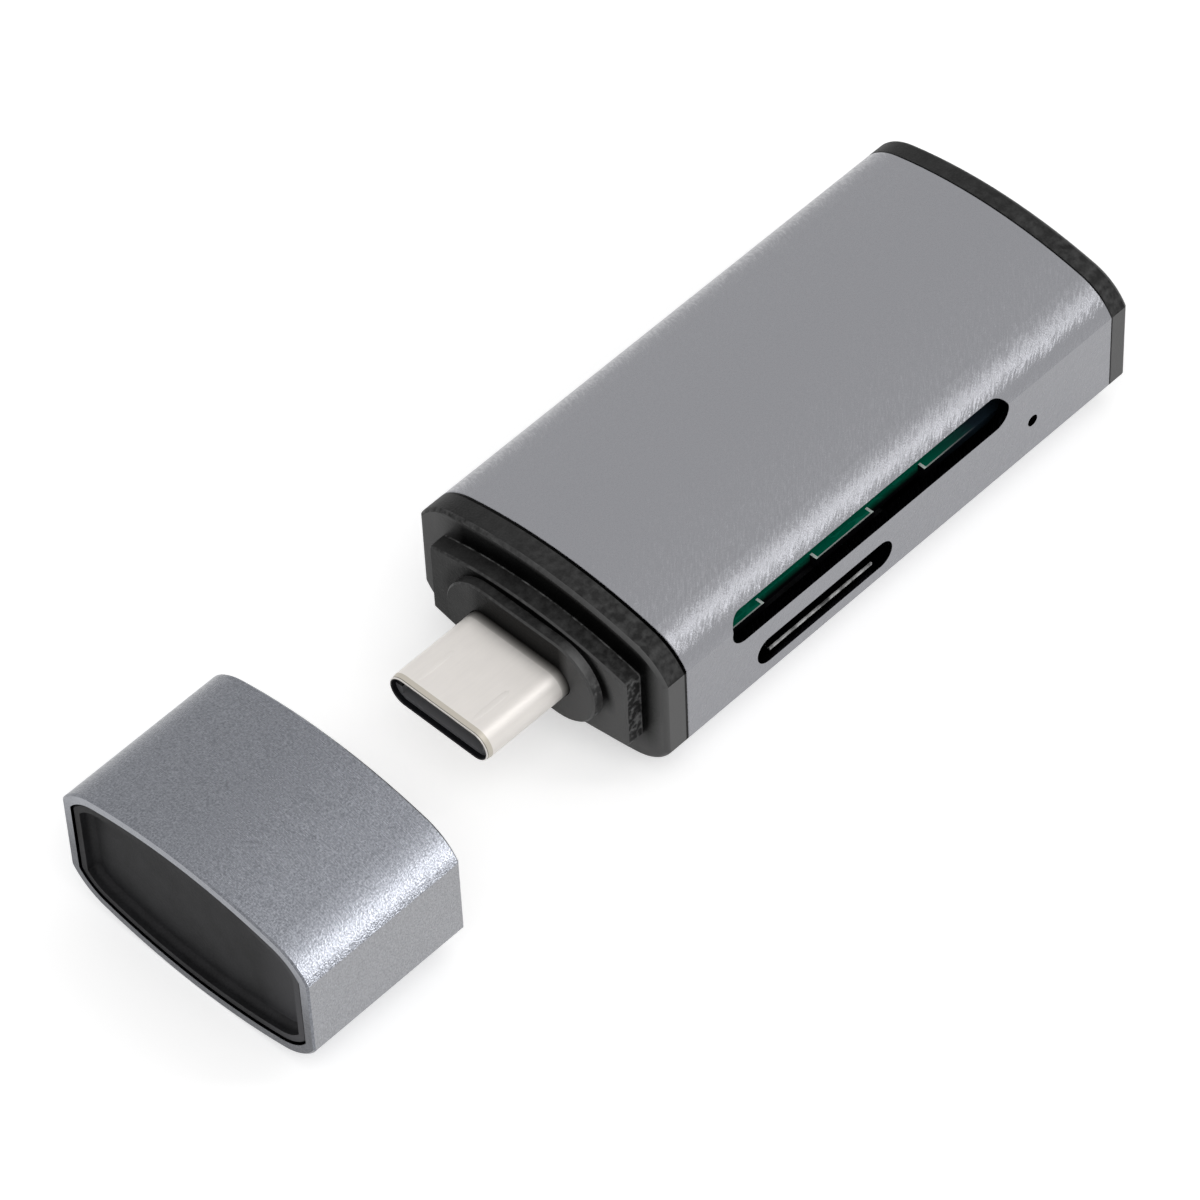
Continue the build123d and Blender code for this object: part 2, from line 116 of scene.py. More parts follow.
PLUG_JOINT_WIDTH = 0.07
RIB_OFFSET = 2.3
RIB_SETBACK = 0.65
RIB_LENGTH = 3.1
RIB_WIDTH = 0.4
RIB_HEIGHT = 0.018
PASSIVE_PITCH = 1.8
PASSIVE_LENGTH = 1.0
TIN_LENGTH = 0.25
LEG_LENGTH = 0.6
DIMPLE_INSET = 1.0
DIMPLE_RADIUS = 0.35
LIP_EDGE = 0.1
FACE_FADE = 7.0
CRESCENT_FOOT = 1.0
CRESCENT_TOP = 0.5
RIM_FOOT = 1.0
RIM_TOP = 4.5
INSERT_FADE_START = -5.0
INSERT_FADE_END = -9.0
INWARD_LIMIT = -0.5
PLUG_INWARD_LIMIT = 0.1

# Counts and shares
LIP_STEPS = 12
PILL_SHARE = 0.99
PLUG_SHADE = 0.92

# How square to an axis a face stands, and the angle that stays sharp
FACING_OUT = 0.95
FACING_HALF = 0.5
FLAT_SIDE = 0.2
EDGE_UP = 0.2
CAP_FLANK_FACING = (0.9, 0.97)
PLATE_FLANK_FACING = (0.9, 0.95)
SHEEN_TURN = (-0.2, -0.7)
SHEEN_FACING = -0.6
SHEEN_SPREAD = 0.5
SHARP_ANGLE = math.radians(40)

# Texture: scales in waves to the millimetre, stretch along each axis, depths in millimetres
HAIR_SCALE = 11.0
HAIR_STRETCH = (7, 1, 7)
HAIR_SLOPE = math.radians(40)
BODY_HAIR_SLANT = math.radians(51)
BODY_HAIR_TILT = 0.15
CAP_HAIR_SLANT = 0.0
CAP_HAIR_TILT = 0.07
HAIR_DETAIL = 3.0
SPECK_SCALE = 9.0
BODY_SPECK_SPREAD = 0.5
BODY_SPECK_DEPTH = 0.01
CAP_SPECK_SPREAD = 0.2
CAP_SPECK_DEPTH = 0.03
GRAIN_SCALE = 7.0
GRAIN_DETAIL = 3.0
GRAIN_DEPTH = 0.02
CLOUD_SCALE = 0.6
WEAR_HIGHLIGHT_SCALE = 2.4
PATCH_DETAIL = 4.0
MOTTLE_SCALE = 2.0
SHEEN_PATCH_SCALE = 2.6
DRAWN_SCALE = 5.0
DRAWN_STRETCH = (10, 1, 1)
PLATED_CLOUD_SCALE = 0.7
PLATED_CLOUD_DEPTH = 0.004
TRACK_SCALE = 0.9
TRACK_STRETCH = (3, 1, 1)
TRACK_DEPTH = 0.01
GLINT_SCALE = 1.2
GLINT_DETAIL = 6.0

# Parts of the noise that are drawn out to full contrast
NOISE_CENTRE = 0.5
NOISE_MIDDLE = (0.3, 0.7)
NOISE_WIDE = (0.2, 0.8)
MOULD_TONE = (0.75, 1.3)
PLATED_TONE = (0.7, 1.3)
WEAR_HIGHLIGHT_TONE = (0.4, 0.75)
MOTTLE_TONE = (0.4, 0.85)
SHEEN_PATCH_TONE = (0.46, 0.66)
GLINT_TONE = (0.4, 0.6)
TRACK_LINE = (0.02, 0.03)

# Roughness and gloss
HAIR_ROUGHNESS = (0.2, 0.32)
MOULD_GLOSS = 0.3
PLATE_ROUGHNESS = 0.5
PLATE_GLOSS = 0.16
INSERT_ROUGHNESS = 0.6
INSERT_GLOSS = 0.2
CORE_ROUGHNESS = 0.6
CORE_GLOSS = 0.12
EPOXY_ROUGHNESS = 0.5
PASSIVE_ROUGHNESS = 0.45
RESIN_ROUGHNESS = 0.2
RESIN_GLOSS = 0.5
BOARD_ROUGHNESS = 0.35
PLUG_ROUGHNESS = 0.4
PLUG_METALLIC = 0.6
TIN_ROUGHNESS = 0.3
GOLD_ROUGHNESS = 0.25
DRAWN_ROUGHNESS = 0.04

# Colours
ANODISED_LIGHT = (0.3, 0.302, 0.32, 1)
ANODISED_DARK = (0.25, 0.252, 0.27, 1)
CAP_LIGHT = (0.255, 0.264, 0.29, 1)
CAP_DARK = (0.13, 0.136, 0.152, 1)
# The cap's flanks are painted this paler tone, as lit
CAP_FLANK = (0.3, 0.304, 0.32, 1)
# Black of the sleeve's cut faces, also used as painted shade inside the cap, the plug and the socket tray
# and on the board's cut faces
CUT_AND_SHADE_BLACK = (0.008, 0.008, 0.01, 1)
MOULD_BLACK = (0.012, 0.012, 0.012, 1)
# End plates: edges worn and partly painted with their highlight, mottle, faces and flanks painted paler as
# lit, and a painted sheen
MOULD_EDGE = (0.08, 0.08, 0.08, 1)
MOULD_FACE = (0.09, 0.09, 0.09, 1)
MOULD_FLANK = (0.115, 0.115, 0.115, 1)
MOULD_SHEEN = (0.16, 0.16, 0.16, 1)
INSERT_BLACK = (0.009, 0.009, 0.01, 1)
# The insert's face is painted this paler tone towards the slots' side, as lit
INSERT_GREY = (0.06, 0.06, 0.065, 1)
CORE_BLACK = (0.008, 0.008, 0.009, 1)
CORE_GREY = (0.2, 0.2, 0.21, 1)
EPOXY_BLACK = (0.02, 0.02, 0.02, 1)
CERAMIC_TAN = (0.4, 0.3, 0.21, 1)
RESIN_WHITE = (0.6, 0.6, 0.55, 1)
PLUG_SILVER = (0.82, 0.785, 0.75, 1)
# Painted reflection on the plug's bevelled nose
NOSE_TAN = (0.57, 0.53, 0.46, 1)
TIN_SILVER = (0.62, 0.62, 0.62, 1)
CONTACT_GOLD = (0.85, 0.6, 0.24, 1)
MASK_GREEN = (0.0, 0.155, 0.09, 1)
TRACK_GREEN = (0.004, 0.2, 0.12, 1)
BARE_LAMINATE = (0.85, 0.95, 0.9, 1)
BOARD_SHADE = (0.02, 0.035, 0.05, 1)

# How much paler or darker than its colour a place is
FLANK_SHADES = (0.8, 1.2)
MOULD_SHADES = (0.7, 1.8)
# The cap's rim is painted darker at its foot and lighter at its top, as shade and light fall
RIM_DARK = 0.7
RIM_PALE = 1.1
PLATED_DARK = 0.96
# Painted reflection line at the plug's nose, and painted shade at its root
NOSE_LINE_DARK = 0.4
ROOT_DARK = 0.05
JOINT_DARK = 0.2
LAMINATE_DARK = 0.6
LIP_DARK = 0.2
DIMPLE_PALE = 4


def box_mm(node):
    low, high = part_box(node)
    return low / MM, high / MM


sleeve_low, sleeve_high = box_mm("sleeve")
board_low, board_high = box_mm("circuit_board")
plug_low, plug_high = box_mm("plug_shell")
collar_face = box_mm("front_plate")[0].x
mid_level = (sleeve_low.z + sleeve_high.z) / 2
seam_front = sleeve_low.x
plate_face = seam_front - PLATE_THICKNESS
block_face = plate_face - BLOCK_REACH


class Shader:
    """A material's node tree, with short calls for the nodes used here. Lengths are in millimetres."""

    def __init__(self, name):
        self.material = bpy.data.materials.new(name)
        self.material.use_nodes = True
        self.tree = self.material.node_tree
        self.surface = self.tree.nodes["Principled BSDF"]
        self.place = self.vector("SCALE", self.add("ShaderNodeTexCoord").outputs["Object"], 1 / MM)
        self.x, self.y, self.z = self.split(self.place)
        geometry = self.add("ShaderNodeNewGeometry")
        self.facing = self.split(geometry.outputs["True Normal"])
        self.normal = geometry.outputs["Normal"]
        self.smooth = self.split(self.normal)

    def add(self, kind, **settings):
        node = self.tree.nodes.new(kind)
        for key, value in settings.items():
            setattr(node, key, value)
        return node

    def feed(self, socket, value):
        if isinstance(value, bpy.types.NodeSocket):
            self.tree.links.new(value, socket)
        else:
            socket.default_value = value

    def split(self, vector):
        node = self.add("ShaderNodeSeparateXYZ")
        self.feed(node.inputs[0], vector)
        return node.outputs[:]

    def math(self, operation, first, second=0.0):
        node = self.add("ShaderNodeMath", operation=operation)
        self.feed(node.inputs[0], first)
        self.feed(node.inputs[1], second)
        return node.outputs[0]

    def vector(self, operation, first, *rest):
        node = self.add("ShaderNodeVectorMath", operation=operation)
        self.feed(node.inputs[0], first)
        for value in rest:
            self.feed(node.inputs["Scale" if operation == "SCALE" else 1], value)
        return node.outputs[0]

    def above(self, value, limit):
        return self.math("GREATER_THAN", value, limit)

    def below(self, value, limit):
        return self.math("LESS_THAN", value, limit)

    def outside(self, mask):
        """1 where a mask is 0."""
        return self.below(mask, 0.5)

    def both(self, *masks):
        total = masks[0]
        for mask in masks[1:]:
            total = self.math("MULTIPLY", total, mask)
        return total

    def either(self, *masks):
        total = masks[0]
        for mask in masks[1:]:
            total = self.math("MAXIMUM", total, mask)
        return total

    def size(self, value, centre=0.0):
        """How far a value is from a centre, on either side."""
        return self.math("ABSOLUTE", self.math("SUBTRACT", value, centre))

    def noise(self, scale, stretch=(1, 1, 1), detail=2.0, turn=(0, 0, 0)):
        """Noise from 0 to 1, its scale in waves per millimetre, drawn out along its own turned axes."""
        mapping = self.add("ShaderNodeMapping", vector_type="TEXTURE")
        self.feed(mapping.inputs["Vector"], self.place)
        self.feed(mapping.inputs["Scale"], stretch)
        self.feed(mapping.inputs["Rotation"], turn)
        node = self.add("ShaderNodeTexNoise")
        self.feed(node.inputs["Vector"], mapping.outputs[0])
        self.feed(node.inputs["Scale"], scale)
        self.feed(node.inputs["Detail"], detail)
        return node.outputs[0]

    def ramp(self, value, low, high, start=0.0, end=1.0):
        """A value carried from one range to another and kept inside it."""
        node = self.add("ShaderNodeMapRange")
        for socket, number in zip(node.inputs[:5], (value, low, high, start, end)):
            self.feed(socket, number)
        return node.outputs[0]

    def mix(self, factor, first, second):
        node = self.add("ShaderNodeMixRGB")
        for socket, value in zip(node.inputs, (factor, first, second)):
            self.feed(socket, value)
        return node.outputs[0]

    def bump(self, height, depth):
        """Relief from a height between 0 and 1, laid over the relief so far."""
        node = self.add("ShaderNodeBump")
        self.feed(node.inputs["Height"], height)
        self.feed(node.inputs["Distance"], depth * MM)
        normal = self.surface.inputs["Normal"]
        for link in normal.links:
            self.feed(node.inputs["Normal"], link.from_socket)
        self.feed(normal, node.outputs[0])

    def lean(self, tilt):
        """Leans the surface about the body's length by a tilt in radians."""
        turn = self.vector("SCALE", self.vector("CROSS_PRODUCT", (1, 0, 0), self.normal), tilt)
        leant = self.vector("NORMALIZE", self.vector("ADD", self.normal, turn))
        self.feed(self.surface.inputs["Normal"], leant)

    def paint(self, mask, colour):
        """Lays a colour over the surface inside a mask."""
        base = self.surface.inputs["Base Color"]
        self.feed(base, self.mix(mask, base.links[0].from_socket, colour))

    def set(self, **values):
        """Sets sockets of the surface shader, named with underscores for spaces."""
        for name, value in values.items():
            self.feed(self.surface.inputs[name.replace("_", " ")], value)


def grey(level):
    return (level, level, level, 1)


def shade(colour, factor):
    return [min(1.0, factor * part) for part in colour[:3]] + [1]


def shades(colour, factors):
    return [shade(colour, factor) for factor in factors]


def inward(shader, limit=INWARD_LIMIT):
    """1 on walls that face the middle line of the body."""
    across = shader.math("MULTIPLY", shader.y, shader.facing[1])
    level = shader.math("MULTIPLY", shader.math("SUBTRACT", shader.z, mid_level), shader.facing[2])
    return shader.below(shader.math("ADD", across, level), limit)


def forward(shader):
    """1 on faces that look out along the plug."""
    return shader.below(shader.facing[0], -FACING_OUT)


def reach_squared(shader, first, second):
    first_squared = shader.math("MULTIPLY", first, first)
    return shader.math("ADD", first_squared, shader.math("MULTIPLY", second, second))


def hair_turn(slant):
    """Turn to the axes of the hairs on the upper corner: along a hair, across it and out of the metal."""
    out = Vector((0, -math.sin(HAIR_SLOPE), math.cos(HAIR_SLOPE)))
    up = Vector((0, math.cos(HAIR_SLOPE), math.sin(HAIR_SLOPE)))
    along = up * math.cos(slant) + Vector((1, 0, 0)) * math.sin(slant)
    return Matrix((along, out.cross(along), out)).transposed().to_euler()


def anodised(name, light, dark, spread, speck_depth, slant, tilt):
    """Bead-blasted aluminium. A fine grain breaks its highlights into slanted hairs."""
    shader = Shader(name)
    hair = shader.noise(HAIR_SCALE, stretch=HAIR_STRETCH, detail=HAIR_DETAIL, turn=hair_turn(slant))
    speck = shader.noise(SPECK_SCALE)
    tone = shader.ramp(speck, NOISE_CENTRE - spread, NOISE_CENTRE + spread)
    shader.set(Base_Color=shader.mix(tone, dark, light), Metallic=1.0)
    shader.set(Roughness=shader.ramp(hair, *NOISE_MIDDLE, *HAIR_ROUGHNESS))
    shader.lean(shader.ramp(hair, *NOISE_WIDE, -tilt, tilt))
    shader.bump(speck, speck_depth)
    return shader


def sleeve_metal():
    """The sleeve's aluminium, with black cut faces in the slots."""
    hair = (BODY_HAIR_SLANT, BODY_HAIR_TILT)
    speck = (BODY_SPECK_SPREAD, BODY_SPECK_DEPTH)
    shader = anodised("anodised_body", ANODISED_LIGHT, ANODISED_DARK, *speck, *hair)
    shader.paint(inward(shader), CUT_AND_SHADE_BLACK)
    beside = shader.below(shader.y, sleeve_low.y + SLOT_DEPTH)
    level = shader.below(shader.size(shader.z, mid_level), SLOT_LEVELS)
    turned = shader.above(shader.facing[1], -FACING_HALF)
    shader.paint(shader.both(beside, level, turned), CUT_AND_SHADE_BLACK)
    return shader


def cap_metal():
    """The cap's aluminium, with a coarser speckle, flanks painted paler as lit, a rim painted in light that
    darkens downwards into painted shade, and painted shade on its inner walls.
    """
    hair = (CAP_HAIR_SLANT, CAP_HAIR_TILT)
    shader = anodised("anodised_cap", CAP_LIGHT, CAP_DARK, CAP_SPECK_SPREAD, CAP_SPECK_DEPTH, *hair)
    # Painted light: the flanks paler, speckled
    flank = shader.ramp(shader.size(shader.smooth[1]), *CAP_FLANK_FACING)
    speck = shader.ramp(shader.noise(SPECK_SCALE), *NOISE_MIDDLE)
    shader.paint(flank, shader.mix(speck, *shades(CAP_FLANK, FLANK_SHADES)))
    # Painted light and shade on the rim: lighter at the top, darker towards the foot
    rim = shader.ramp(shader.z, mid_level - RIM_FOOT, mid_level + RIM_TOP)
    shader.paint(forward(shader), shader.mix(rim, shade(CAP_DARK, RIM_DARK), shade(CAP_LIGHT, RIM_PALE)))
    # Painted shade on the inner walls, seen in the gap round the insert
    shader.paint(inward(shader), CUT_AND_SHADE_BLACK)
    return shader


def moulded(name, colour, roughness, gloss=MOULD_GLOSS):
    """Plastic with the fine texture of a spark-eroded mould."""
    shader = Shader(name)
    fine = shader.noise(GRAIN_SCALE, detail=GRAIN_DETAIL)
    cloud = shader.noise(CLOUD_SCALE)
    tone = shader.ramp(shader.math("ADD", fine, cloud), *MOULD_TONE)
    shader.set(Base_Color=shader.mix(tone, *shades(colour, MOULD_SHADES)))
    shader.set(Roughness=roughness, Specular_IOR_Level=gloss)
    shader.bump(fine, GRAIN_DEPTH)
    return shader


def clear_of_block(shader):
    """0 close to the block round the plug, over it or beside its slot flank, and 1 clear of it."""
    height = shader.math("ADD", shader.math("SUBTRACT", shader.z, mid_level), CROWN_OFFSET)
    reach = shader.math("POWER", reach_squared(shader, shader.y, height), 0.5)
    over = shader.math("SUBTRACT", reach, BLOCK_CROWN)
    beside = shader.math("SUBTRACT", -BLOCK_HALF, shader.y)
    over_part = shader.ramp(over, OVER_CORE, OVER_REACH)
    return shader.either(over_part, shader.ramp(beside, BESIDE_CORE, BESIDE_REACH))


def beyond_collar(shader):
    """How far a point lies outside the oval collar round the plug."""
    straight = (PLUG_WIDTH - PLUG_HEIGHT) / 2
    past = shader.either(shader.math("SUBTRACT", shader.size(shader.y), straight), 0.0)
    squared = reach_squared(shader, past, shader.math("SUBTRACT", shader.z, mid_level))
    return shader.math("SUBTRACT", shader.math("POWER", squared, 0.5), COLLAR_RADIUS)


def painted_corner_shade(shader):
    """Painted shade in the corners of the steps: plate to block, block to collar, and collar to plug from
    above.
    """
    on_plate = shader.above(shader.x, plate_face - ROOT_LINE)
    on_block = shader.both(shader.above(shader.x, block_face - ROOT_LINE), shader.outside(on_plate))
    open_end = shader.ramp(shader.y, CORNER_END, CORNER_END - CORNER_FADE)
    corner = shader.math("SUBTRACT", 1.0, clear_of_block(shader))
    crescent = shader.ramp(beyond_collar(shader), CRESCENT_REACH, CRESCENT_CORE)
    upper = shader.ramp(shader.z, mid_level - CRESCENT_FOOT, mid_level + CRESCENT_TOP)
    foot = mid_level - CORNER_FOOT
    closed = shader.ramp(shader.z, foot, foot + CORNER_FOOT_FADE)
    by_plate = shader.both(on_plate, corner, open_end, closed)
    by_block = shader.both(on_block, crescent, upper)
    plug_end = PLUG_WIDTH / 2
    on_collar = shader.below(shader.x, block_face - ROOT_LINE)
    at_plug = shader.ramp(shader.size(shader.y), plug_end, plug_end - PLUG_SHADE_FADE)
    over_plug = shader.ramp(shader.z, mid_level, mid_level + PLUG_SHADE_FADE, 0.0, PLUG_SHADE)
    by_plug = shader.both(on_collar, at_plug, over_plug)
    return shader.both(forward(shader), shader.either(by_plate, by_block, by_plug))


def plate_moulding():
    """End plates: painted shade in the seam before the sleeve and in the steps' corners, faces and flanks
    painted paler as lit, worn edges that also stand in for their highlight, painted sheen on sides round
    the plug.
    """
    shader = moulded("plate_moulding", MOULD_BLACK, PLATE_ROUGHNESS, PLATE_GLOSS)
    # Faces towards the plug painted paler as lit: the plate's face all over, the block and collar more
    # towards the slots' side
    near = shader.ramp(shader.y, FACE_FADE, -FACE_FADE)
    on_plate = shader.above(shader.x, plate_face - ROOT_LINE)
    shader.paint(shader.both(forward(shader), shader.either(near, on_plate)), MOULD_FACE)
    slant = shader.size(shader.facing[0])
    side = shader.below(slant, FLAT_SIDE)
    edge = shader.both(shader.above(slant, FLAT_SIDE), shader.below(slant, FACING_OUT))
    wear_and_highlight = shader.ramp(shader.noise(WEAR_HIGHLIGHT_SCALE, detail=PATCH_DETAIL), *WEAR_HIGHLIGHT_TONE)
    # Edges painted paler towards the slots' side, as lit
    shader.paint(shader.both(edge, near), MOULD_FACE)
    # Worn patches on upward edges, which also stand in for the highlight on those edges
    shader.paint(shader.both(edge, wear_and_highlight, shader.above(shader.facing[2], EDGE_UP)), MOULD_EDGE)
    on_block = shader.below(shader.x, plate_face)
    on_collar = shader.below(shader.x, block_face)
    # Flanks painted paler, as lit
    flank = shader.ramp(shader.size(shader.smooth[1]), *PLATE_FLANK_FACING)
    shader.paint(shader.both(flank, side, shader.outside(on_block)), MOULD_FLANK)
    mottle = shader.ramp(shader.noise(MOTTLE_SCALE, detail=PATCH_DETAIL), *MOTTLE_TONE)
    shader.paint(shader.both(side, mottle, near, shader.above(shader.facing[2], FACING_HALF)), MOULD_EDGE)
    # Painted sheen: in patches on the sides in front of the plate that face the slots' side, and on the
    # collar's sides
    patchy_sheen = shader.ramp(shader.noise(SHEEN_PATCH_SCALE, detail=PATCH_DETAIL), *SHEEN_PATCH_TONE)
    turned = shader.ramp(shader.smooth[1], *SHEEN_TURN)
    shader.paint(shader.both(side, patchy_sheen, turned, on_block), MOULD_SHEEN)
    sheen = shader.ramp(shader.size(shader.smooth[1], SHEEN_FACING), 0.0, SHEEN_SPREAD, 1.0, 0.0)
    shader.paint(shader.both(side, on_collar, sheen), MOULD_SHEEN)
    # Painted highlight in patches along the block's sides where they meet the plate
    root = shader.both(side, on_block, shader.above(shader.x, plate_face - ROOT_LINE))
    shader.paint(shader.both(root, wear_and_highlight), MOULD_SHEEN)
    # Painted shade in black, set metallic so that it takes no shine: the seam before the sleeve and the
    # corners of the steps
    seam = shader.below(shader.size(shader.x, seam_front), SEAM_WIDTH)
    dark = shader.either(seam, painted_corner_shade(shader))
    shader.paint(dark, grey(0.0))
    shader.set(Metallic=dark)
    return shader


def plated(name, colour, roughness):
    """Plated sheet metal with faint clouds and drawing marks."""
    shader = Shader(name)
    marks = shader.noise(DRAWN_SCALE, stretch=DRAWN_STRETCH)
    cloud = shader.noise(PLATED_CLOUD_SCALE)
    tone = shader.ramp(shader.math("ADD", marks, cloud), *PLATED_TONE)
    shader.set(Base_Color=shader.mix(tone, shade(colour, PLATED_DARK), colour), Metallic=1.0)
    span = (roughness - DRAWN_ROUGHNESS, roughness + DRAWN_ROUGHNESS)
    shader.set(Roughness=shader.ramp(marks, *NOISE_MIDDLE, *span))
    shader.bump(cloud, PLATED_CLOUD_DEPTH)
    return shader


def plug_metal():
    """The plug's satin plate: a painted reflection in tan on the bevelled nose, painted shade inside and at
    the root, joint of the sheet underneath.
    """
    shader = plated("plug_steel", PLUG_SILVER, PLUG_ROUGHNESS)
    shader.set(Metallic=PLUG_METALLIC)
    nose = shader.math("SUBTRACT", shader.x, plug_low.x)
    # Painted reflection: the bevelled nose in tan, with a darker line at the lip
    shader.paint(shader.both(shader.above(nose, LIP_LENGTH), shader.below(nose, NOSE_LENGTH)), NOSE_TAN)
    line = shader.below(shader.size(nose, LIP_LENGTH), NOSE_LINE)
    shader.paint(line, shade(NOSE_TAN, NOSE_LINE_DARK))
    # Painted shade at the plug's root by the collar
    root = shader.math("POWER", shader.ramp(shader.x, collar_face - ROOT_FADE, collar_face), 0.5)
    shader.paint(root, shade(NOSE_TAN, ROOT_DARK))
    # Painted shade on the inner walls of the shell, in its mouth
    shader.paint(inward(shader, PLUG_INWARD_LIMIT), CUT_AND_SHADE_BLACK)
    under = shader.below(shader.z, plug_low.z + PLUG_SHEET / 2)
    behind = shader.above(nose, NOSE_LENGTH)
    joint = shader.below(shader.size(shader.y), PLUG_JOINT_WIDTH / 2)
    shader.paint(shader.both(under, behind, joint), shade(PLUG_SILVER, JOINT_DARK))
    return shader


def solder_mask():
    """Green board with paler tracks, bare pale lines along its cut edges, and painted shade on the cut
    faces and far end.
    """
    shader = Shader("solder_mask")
    tracks = shader.noise(TRACK_SCALE, stretch=TRACK_STRETCH)
    line = shader.ramp(shader.size(tracks, NOISE_CENTRE), *TRACK_LINE, 1.0, 0.0)
    shader.set(Base_Color=shader.mix(line, MASK_GREEN, TRACK_GREEN))
    shader.set(Roughness=BOARD_ROUGHNESS, Specular_IOR_Level=0.0)
    shader.bump(line, TRACK_DEPTH)
    middle = seam_front + NOTCH_START + (NOTCH_LENGTH - NOTCH_PITCH) / 2
    step = shader.math("FLOORED_MODULO", shader.math("SUBTRACT", shader.x, middle), NOTCH_PITCH)
    past = shader.size(step, NOTCH_PITCH / 2)
    tab = shader.above(past, NOTCH_LENGTH / 2)
    beside = shader.below(past, NOTCH_LENGTH / 2 + NOTCH_EDGE_LINE)
    along = shader.below(shader.y, board_low.y + EDGE_LINE)
    across = shader.both(beside, shader.below(shader.y, board_low.y + NOTCH_DEPTH))
    up = shader.above(shader.facing[2], FACING_HALF)
    shader.paint(shader.both(tab, up, along), shade(BARE_LAMINATE, LAMINATE_DARK))
    shader.paint(shader.both(tab, up, across), BARE_LAMINATE)
    # Painted shade on the cut faces: black on the tab fronts and ends, and down the notch walls with depth
    deep = shader.ramp(shader.z, board_high.z, board_low.z + BOARD_EDGE_FADE)
    ends = shader.above(shader.size(shader.facing[0]), FACING_HALF)
    shaded_cut = shader.both(shader.either(deep, along, ends), shader.outside(up))
    shader.paint(shaded_cut, CUT_AND_SHADE_BLACK)
    # Painted shade over the board's far end
    shader.paint(shader.ramp(shader.x, BOARD_DARK_START, BOARD_DARK_END), BOARD_SHADE)
    return shader


def tray_metal():
    """The small socket's tray, painted in shade inside, with a painted glint along the edge of its lip."""
    shader = plated("tray_steel", TIN_SILVER, TIN_ROUGHNESS)
    # Painted shade on the tray's upper faces, inside the socket
    shader.paint(shader.above(shader.facing[2], FACING_HALF), CUT_AND_SHADE_BLACK)
    # Painted glint along the lip's edge, in a pale colour that is not metallic
    edge = shader.below(shader.y, box_mm("microsd_shell")[0].y + LIP_EDGE)
    glint = shader.ramp(shader.noise(GLINT_SCALE, detail=GLINT_DETAIL), *GLINT_TONE)
    shader.paint(edge, shader.mix(glint, shade(TIN_SILVER, LIP_DARK), TIN_SILVER))
    shader.set(Metallic=shader.outside(edge))
    return shader


def insert_moulding():
    """The plate that closes the cap, its face painted paler towards the slots' side, as lit."""
    shader = moulded("insert_moulding", INSERT_BLACK, INSERT_ROUGHNESS, INSERT_GLOSS)
    # Painted light: the face paler towards the slots' side
    pale = shader.ramp(shader.y, INSERT_FADE_START, INSERT_FADE_END)
    shader.paint(shader.both(forward(shader), pale), INSERT_GREY)
    return shader


def plug_core():
    """The plug's insulator, its lower half paler."""
    shader = moulded("plug_core", CORE_BLACK, CORE_ROUGHNESS, CORE_GLOSS)
    shader.paint(shader.below(shader.z, mid_level), CORE_GREY)
    return shader


def soldered(name, colour, node):
    """Row of small blocks with tinned ends."""
    shader = moulded(name, colour, PASSIVE_ROUGHNESS)
    start = shader.math("SUBTRACT", shader.x, box_mm(node)[0].x)
    middle = shader.size(shader.math("FLOORED_MODULO", start, PASSIVE_PITCH), PASSIVE_LENGTH / 2)
    end = shader.above(middle, PASSIVE_LENGTH / 2 - TIN_LENGTH)
    shader.paint(end, TIN_SILVER)
    shader.set(Metallic=end)
    return shader


def regulator_finish():
    """Epoxy body with tinned legs on two sides."""
    shader = moulded("regulator_epoxy", EPOXY_BLACK, EPOXY_ROUGHNESS)
    low, high = box_mm("voltage_regulator")
    near_leg = shader.below(shader.y, low.y + LEG_LENGTH)
    leg = shader.either(near_leg, shader.above(shader.y, high.y - LEG_LENGTH))
    shader.paint(leg, TIN_SILVER)
    shader.set(Metallic=leg)
    return shader


def chip_finish():
    """Epoxy body with a polished dimple at its first corner."""
    shader = moulded("chip_epoxy", EPOXY_BLACK, EPOXY_ROUGHNESS)
    low = box_mm("controller_chip")[0]
    far_x = shader.size(shader.x, low.x + DIMPLE_INSET)
    far_y = shader.size(shader.y, low.y + DIMPLE_INSET)
    dimple = shader.below(reach_squared(shader, far_x, far_y), DIMPLE_RADIUS**2)
    shader.paint(dimple, shade(EPOXY_BLACK, DIMPLE_PALE))
    return shader


plug_steel = plug_metal()
moulding = plate_moulding()
core = moulded("insulator_moulding", CORE_BLACK, CORE_ROUGHNESS, CORE_GLOSS)
socket_steel = plated("socket_steel", TIN_SILVER, TIN_ROUGHNESS)
gold = plated("contact_gold", CONTACT_GOLD, GOLD_ROUGHNESS)

FINISH = {
    "sleeve": sleeve_metal(),
    "cap_shell": cap_metal(),
    "front_plate": moulding,
    "rear_plate": moulding,
    "cap_insert": insert_moulding(),
    "plug_shell": plug_steel,
    "plug_insulator": plug_core(),
    "plug_contacts": gold,
    "plug_latches": socket_steel,
    "circuit_board": solder_mask(),
    "sd_socket_housing": core,
    "sd_socket_cover": socket_steel,
    "sd_contacts": gold,
    "microsd_base": core,
    "microsd_shell": tray_metal(),
    "microsd_contacts": gold,
    "status_led": moulded("led_resin", RESIN_WHITE, RESIN_ROUGHNESS, RESIN_GLOSS),
    "controller_chip": chip_finish(),
    "crystal": socket_steel,
    "voltage_regulator": regulator_finish(),
    "capacitors": soldered("ceramic_body", CERAMIC_TAN, "capacitors"),
    "resistors": soldered("resistor_body", EPOXY_BLACK, "resistors"),
}
for name, shader in FINISH.items():
    slots = nodes[name].data.materials
    slots.clear()
    slots.append(shader.material)


